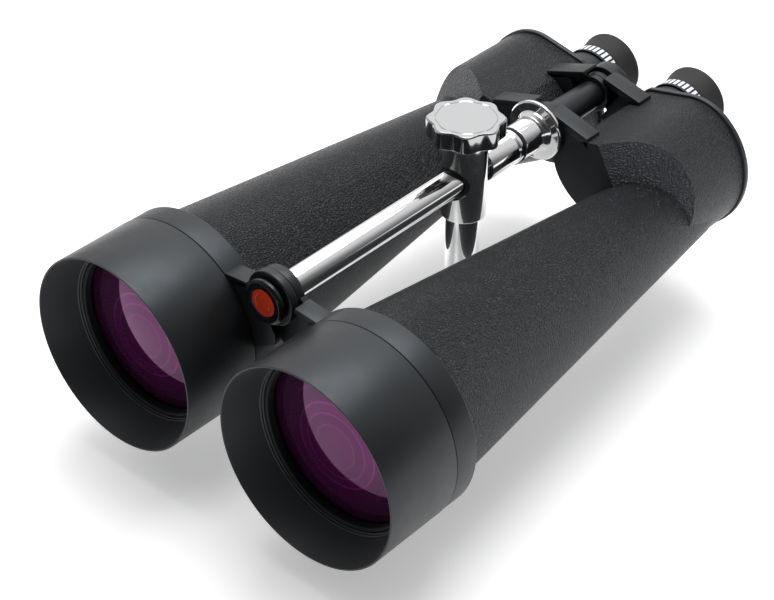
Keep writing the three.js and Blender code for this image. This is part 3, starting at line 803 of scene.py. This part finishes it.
def add_hinge_lugs(side):
    """The lugs on the drum: a flange, two webs under it, and a knuckle round the hinge."""
    bm = bmesh.new()
    for (front, rear), (x0, z0, x1, z1), under, webs, knuckle in HINGE_LUGS[side]:
        z2 = z1 - FLANGE_THICK
        flange = [(x0, z0), (x1, z1), (x1 + 5, z2 - 1), (x1, z2), (KNEE, under), (x0, under)]
        slab(bm, side, flange, front, rear, 0.35)
        rise = (z2 - under) / (x1 - KNEE)
        for web_front, web_rear, near in webs:
            top = under + max(0, near - KNEE) * rise + WEB_LAP
            web = [(near, top), *WEB_IN_DRUM, (near, WEB_UNDERSIDE)]
            slab(bm, side, web, max(web_front, DRUM["front"] + WEB_SETBACK), web_rear, 0.3)
        start, end, radius = knuckle
        ring = band(radius, KNUCKLE_BORE, start, end, 0.5)
        if radius < GROOVED_BELOW:
            middle = (start + end) / 2
            ring[1:1] = [(radius, middle - 0.5, 0.4), (radius - 0.6, middle),
                         (radius, middle + 0.5, 0.4)]
        ring_mesh(bm, side, 0, ring)
    lugs = finish_mesh(bm, f"{side}_hinge_lugs", satin)
    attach(lugs, f"{side}_half")


COVER = {"x": 61.8, "front": 350.3, "rim": 351.1, "rear": 354.3, "radius": 45.3, "groove": 43.4}


def add_cover(side):
    """The disc that closes the drum, with a groove in front of its rim."""
    rim = round_with_flat(COVER["x"], COVER["radius"], FLAT_AT["rim"])
    bm = prism_mesh(side, rim, COVER["rim"], COVER["rear"])
    piece = soften(finish_mesh(bm, f"{side}_rear_cover", cover_enamel), 0.6)
    plug = round_with_flat(COVER["x"], COVER["groove"], FLAT_AT["groove"])
    bm = prism_mesh(side, plug, COVER["front"], COVER["rim"] + 0.5)
    boolean(piece, finish_mesh(bm, "tool", cover_enamel), "UNION")
    resharpen(piece)
    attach(piece, f"{side}_half")
    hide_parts(f"{side}_rear_cover")


# ------------------------------------------------------------------ eyepieces
MARKS = 37  # blocks round the diopter scale
MARK_FILL = 0.6  # share of the pitch that a block fills
MARK_FRONT, MARK_REAR = 1.5, 7.6  # behind the focus ring's front face
MARK_OUTER, MARK_INNER = 19.72, 19.4
EYE_LENSES = (("field_lens", 45.0, 2.0), ("eye_lens", 90.0, 3.3))  # name, curve, edge thickness
EYE_LENS_EDGE = 13.0


def add_eyepiece(side):
    half, ocular, focus = f"{side}_half", f"{side}_ocular", f"{side}_focus"
    base = [
        (13.2, 0), (16.0, 0), (16.0, 7.6), (20.3, 7.6, 0.3), (20.3, 9.2, 0.4), (18.6, 10.0, 0.3),
        (18.6, 22.4, 0.3), (15.2, 22.4), (15.2, 8), (13.2, 8),
    ]
    turned(f"{side}_eyepiece_base", f"{side}_eyepiece_base", base, satin, half, sides=MEDIUM)
    tube = [
        (14.9, 0), (14.9, 29, 0.3), (11.2, 29, 0.4), (9.8, 27.9, 0.3), (9.8, 26.6), (13.3, 26.6),
        (13.3, 0),
    ]
    turned(f"{side}_ocular_tube", f"{side}_ocular_tube", tube, flat_black, ocular, sides=MEDIUM)
    ring = [
        (19.1, 0), (19.65, 0, 0.2), (19.65, 8.6, 0.2), (17.2, 8.6), (17.2, 17.4, 0.3),
        (15.2, 17.4, 0.3), (15.2, 3.2), (19.1, 3.2),
    ]
    turned(f"{side}_focus_ring", f"{side}_focus_ring", ring, satin, focus, sides=MEDIUM)
    cup = [
        (17.6, 0), (19.5, 0, 0.3), (19.55, 3.0), (19.75, 6.0), (20.25, 9.0), (20.9, 11.6),
        (21.4, 13.6, 1.0), (21.45, 15.3, 1.4), (19.9, 15.3, 0.5), (18.2, 10.3, 0.6), (17.6, 9.0),
    ]
    turned(f"{side}_eyecup", f"{side}_eyecup", cup, rubber, focus, sides=FINE)
    add_scale(side)
    for name, curve, edge_thickness in EYE_LENSES:
        node = f"{side}_{name}"
        front = lens_face(EYE_LENS_EDGE, curve, 10)
        back = 2 * front[-1][1] + edge_thickness
        rear = [(r, back - along) for r, along in reversed(front)]
        turned(node, node, [*front, *rear], eye_glass, ocular, sides=MEDIUM)


def add_scale(side):
    """White blocks of the diopter scale, a thin inlay round the focus ring."""
    low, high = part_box(f"{side}_focus_ring")
    middle = (low + high) / 2
    bm = bmesh.new()
    front, rear = low.y + MARK_FRONT * MM, low.y + MARK_REAR * MM
    outer, inner = MARK_OUTER * MM, MARK_INNER * MM
    steps = 4
    for mark in range(MARKS):
        start = 2 * math.pi * mark / MARKS
        width = 2 * math.pi / MARKS * MARK_FILL
        rows = []
        for k in range(steps + 1):
            a = start + width * k / steps
            direction = Vector((math.sin(a), 0, math.cos(a)))
            corners = [(outer, front), (outer, rear), (inner, rear), (inner, front)]
            rows.append([
                bm.verts.new(Vector((middle.x, y, middle.z)) + direction * r) for r, y in corners
            ])
        for a, b in zip(rows, rows[1:]):
            for k in range(4):
                bm.faces.new((a[k], a[(k + 1) % 4], b[(k + 1) % 4], b[k]))
        bm.faces.new(rows[0])
        bm.faces.new(reversed(rows[-1]))
    piece = finish_mesh(bm, f"{side}_diopter_scale", white_enamel)
    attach(piece, f"{side}_focus")


# ------------------------------------------------------------------ hinge and rod
def add_hinge():
    body = "right_half"
    rod = [
        (0, 212), (6.3, 212), (6.3, 223.7), (8.0, 223.7, 0.3), (8.0, 0, 0.3), (4.3, 0), (4.3, 10),
        (0, 10),
    ]
    turned("bridge_rod", "bridge_rod", rod, chrome, body)
    sleeve = [
        (8.3, 0), (10.3, 0, 0.5), (10.3, 23.9, 0.5), (9.6, 24.3), (9.6, 25.0), (10.45, 25.3, 0.4),
        (10.45, 28.1, 0.4), (8.3, 28.1),
    ]
    turned("rod_sleeve", "rod_sleeve", sleeve, chrome, body)
    turned("stop_ring", "stop_ring", band(11.0, 8.3, 0, 1.7, 0.8), rubber, body)
    flange = [
        (8.3, 0), (10.66, 0, 0.3), (10.66, 16.4, 0.8), (12.4, 18.3, 0.5), (12.4, 19.7, 0.6),
        (17.6, 19.7, 0.5), (18.6, 20.4, 0.4), (18.6, 22.1, 0.3), (8.3, 22.1),
    ]
    turned("end_flange", "end_flange", flange, chrome, body)
    cap = [
        (0, 1.0), (8.3, 1.0), (8.7, 0.5, 0.2), (11.4, 0, 0.7), (13.1, 1.3, 0.6), (13.1, 3.3, 0.4),
        (11.0, 3.4), (11.0, 5.1), (4.0, 5.1), (4.0, 15.1), (0, 15.1),
    ]
    turned("front_cap", "front_cap", cap, gloss_black, body)
    inlay = [(0, 0.1), (4.3, 0.1, 0.15), (4.6, 0.35, 0.1), (5.3, 0.35, 0.1), (5.6, 0.1, 0.15),
             (7.9, 0.1, 0.2), (7.9, 0.6), (0, 0.6)]
    turned("cap_inlay", "cap_inlay", inlay, red_enamel, body)
    end_cap = [
        (0, 2.2), (6.3, 2.2), (6.3, 0), (9.5, 0, 0.3), (9.5, 3.4, 0.4), (8.3, 4.7, 0.4), (7.6, 4.7),
        (0, 4.7),
    ]
    turned("hinge_end_cap", "hinge_end_cap", end_cap, satin, body, sides=MEDIUM)
    tube = [(9.5, 0, 0.4), (9.2, 9.0), (8.4, 40.0, 0.4), (6.3, 40.0), (6.3, 0)]
    turned("hinge_tube", "hinge_tube", tube, satin, "left_half", sides=MEDIUM)


# ------------------------------------------------------------------ tripod adapter
def boolean(piece, tool, operation):
    """Cuts piece with tool, applies the result and removes the tool."""
    modifier = piece.modifiers.new("cut", "BOOLEAN")
    modifier.operation = operation
    modifier.solver = "EXACT"
    modifier.object = tool
    bpy.context.view_layer.update()
    depsgraph = bpy.context.evaluated_depsgraph_get()
    mesh = bpy.data.meshes.new_from_object(piece.evaluated_get(depsgraph))
    piece.modifiers.clear()
    piece.data = mesh
    bpy.data.objects.remove(tool)


def about_rod(radius, along, angle):
    """place() for spin: about the hinge axis, from the middle of the adapter."""
    r = radius * MM
    middle_y = centre_of("adapter_block").y
    return (r * math.sin(angle), middle_y + along * MM, hinge_z + r * math.cos(angle))


def rod_bore(radius, reach):
    """A round bar through the adapter, to cut the bore for the rod."""
    bm = bmesh.new()
    ends = [(0, -reach), (radius, -reach), (radius, reach), (0, reach)]
    spin(bm, [Vector(p) for p in ends], about_rod, MEDIUM, False)
    return finish_mesh(bm, "tool", chrome)


POST_GAP = 0.3  # between the post's shoulder and the block
INSERT_DEPTH = 14  # the bore in the foot that holds the threaded insert


def add_adapter():
    block = [
        (0, 0), (13.05, 0, 0.4), (13.05, 50.7, 0.7), (7.3, 50.7), (7.3, 42), (0, 42),
    ]
    bm = bmesh.new()
    turned_mesh(bm, "adapter_block", block, upright=True)
    piece = finish_mesh(bm, "adapter_block", chrome)
    boolean(piece, rod_bore(10.3, 30), "DIFFERENCE")
    resharpen(piece)
    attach(piece, "adapter")
    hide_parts("adapter_block")

    bm = bmesh.new()
    ring = [Vector(p) for p in [(8.3, -20), (10.0, -20), (10.0, 20), (8.3, 20)]]
    spin(bm, ring, about_rod, MEDIUM, True)
    liner = finish_mesh(bm, "clamp_liner", nylon)
    bm = bmesh.new()
    turned_mesh(bm, "adapter_block", [(0, 0), (12.7, 0), (12.7, 50), (0, 50)], upright=True)
    boolean(liner, finish_mesh(bm, "tool", nylon), "INTERSECT")
    resharpen(liner)
    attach(liner, "liner")
    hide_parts("clamp_liner")

    low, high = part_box("adapter_post")
    height = (high.z - low.z) / MM
    shoulder = height - (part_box("adapter_block")[0].z - low.z) / MM + POST_GAP
    post = [
        (0, 0), (7.0, 0, 0.4), (7.0, shoulder), (10.0, shoulder, 0.5), (10.0, height, 0.6),
        (6.3, height), (6.3, height - INSERT_DEPTH), (0, height - INSERT_DEPTH),
    ]
    turned("adapter_post", "adapter_post", post, chrome, "adapter", upright=True)


def resharpen(piece):
    """Marks crisp edges again after a boolean."""
    bm = bmesh.new()
    bm.from_mesh(piece.data)
    material = piece.data.materials[0]
    bmesh.ops.remove_doubles(bm, verts=bm.verts, dist=1e-6)
    for face in bm.faces:
        face.smooth = True
    for edge in bm.edges:
        edge.smooth = not (edge.is_manifold and edge.calc_face_angle(0) > SHARP)
    bm.to_mesh(piece.data)
    bm.free()
    if not piece.data.materials:
        piece.data.materials.append(material)


KNOB_LOBES = 8
KNOB_TURN = math.radians(40)
KNOB_SIDES = 256
LOBE_DEPTH = 1.3
LOBES_FROM, LOBES_OVER = 16.0, 5.1  # radius where the lobes begin, and over which they grow


def add_knob():
    top = [
        (0, 0.2), (16.2, 0.2), (16.9, 0.2), (17.2, 0.45, 0.1), (17.5, 0.2), (18.2, 0.1), (19.9, 0),
        (20.4, 0, 0.3), (21.1, 0.8, 0.3), (21.1, 10.4, 0.5), (20.5, 11.0, 0.4), (4.3, 11.0),
        (4.3, 8.0), (0, 8.0),
    ]

    def lobes(radius, angle):
        reach = max(0.0, (radius - LOBES_FROM) / LOBES_OVER)
        return LOBE_DEPTH * reach * math.cos(KNOB_LOBES * (angle - KNOB_TURN))

    turned("clamp_knob", "clamp_knob", top, knob_chrome, "knob", upright=True, wave=lobes,
           sides=KNOB_SIDES)


# ------------------------------------------------------------------ materials of the object
satin = painted("satin_enamel", 0.0095, 0.002, 0.4)
cover_enamel = painted("cover_enamel", 0.03, 0.005, 0.42)
flat_black = painted("flat_anodising", 0.006, 0.0015, 0.6)
hood_lining = painted("hood_lining", 0.034, 0.005, 0.5)
leather = pebbled("barrel_leather", 0.0016, 0.0008, 0.012, 0.42, 0.45)
housing_leather = {
    side: pebbled(f"{side}_housing_leather", 0.0014, 0.0006, 0.013, 0.4, 0.5) for side in SIDES
}
# painted light: the facet takes a copy of the drum's leather with a far lighter base, standing in
# for the light it catches
painted_light_facet_leather = {
    side: pebbled(f"{side}_painted_light_facet_leather", 0.0019, 0.0008, 0.07, 0.42, 0.4) for side in SIDES
}
chrome = plated("polished_plating", 0.88, 0.05)
knob_chrome = plated("knob_plating", 0.45, 0.07)
steel = plated("turned_steel", 0.58, 0.28)
rubber = moulded("eyecup_rubber", 0.013, 0.72, 2600, 0.00006)
nylon = moulded("liner_nylon", 0.016, 0.5, 1500, 0.00003)
gloss_black = painted("gloss_enamel", 0.006, 0.001, 0.22)
white_enamel = painted("scale_enamel", 0.8, 0.03, 0.4)
red_enamel = coated_glass("red_enamel", (0.72, 0.05, 0.012), 0.0, 0.25)
crown_glass = {side: lens_glass(side) for side in SIDES}
eye_glass = coated_glass("eye_coating", (0.05, 0.03, 0.12), 0.9, 0.02)
prism_glass = clear_glass("prism_glass", (0.86, 0.9, 0.92))

KEPT = {
    "flint_lens": prism_glass, "objective_cell": flat_black, "barrel": flat_black,
    "rear_prism": prism_glass, "front_prism": prism_glass, "prism_shelf": steel,
    "hinge_axle": steel, "tripod_insert": steel, "clamp_screw": steel,
}


def dress_kept_nodes():
    """The CAD nodes that are shown as they are get a finished material."""
    for name, node in frame["nodes"].items():
        for ending, material in KEPT.items():
            if name.endswith(ending):
                for slot in node.material_slots:
                    slot.material = material


# ------------------------------------------------------------------ assembly
bpy.context.scene.view_settings.view_transform = "Standard"
add_camera()
add_floor()
add_world()
add_light("overhead", (1.2, 1.0), 22, (-0.15, 0.25, 1.5), (0, 0, 0))
add_light("rear_softbox", (2.3, 1.5), 7, (-1.1, 1.25, 1.25), (0, 0, 0.1))
for side in SIDES:
    add_objective(side)
    add_bridge_arm(side)
    add_barrel(side)
    add_housing(side)
    add_cover(side)
    add_eyepiece(side)
add_hinge()
add_adapter()
add_knob()
dress_kept_nodes()

bpy.context.view_layer.update()
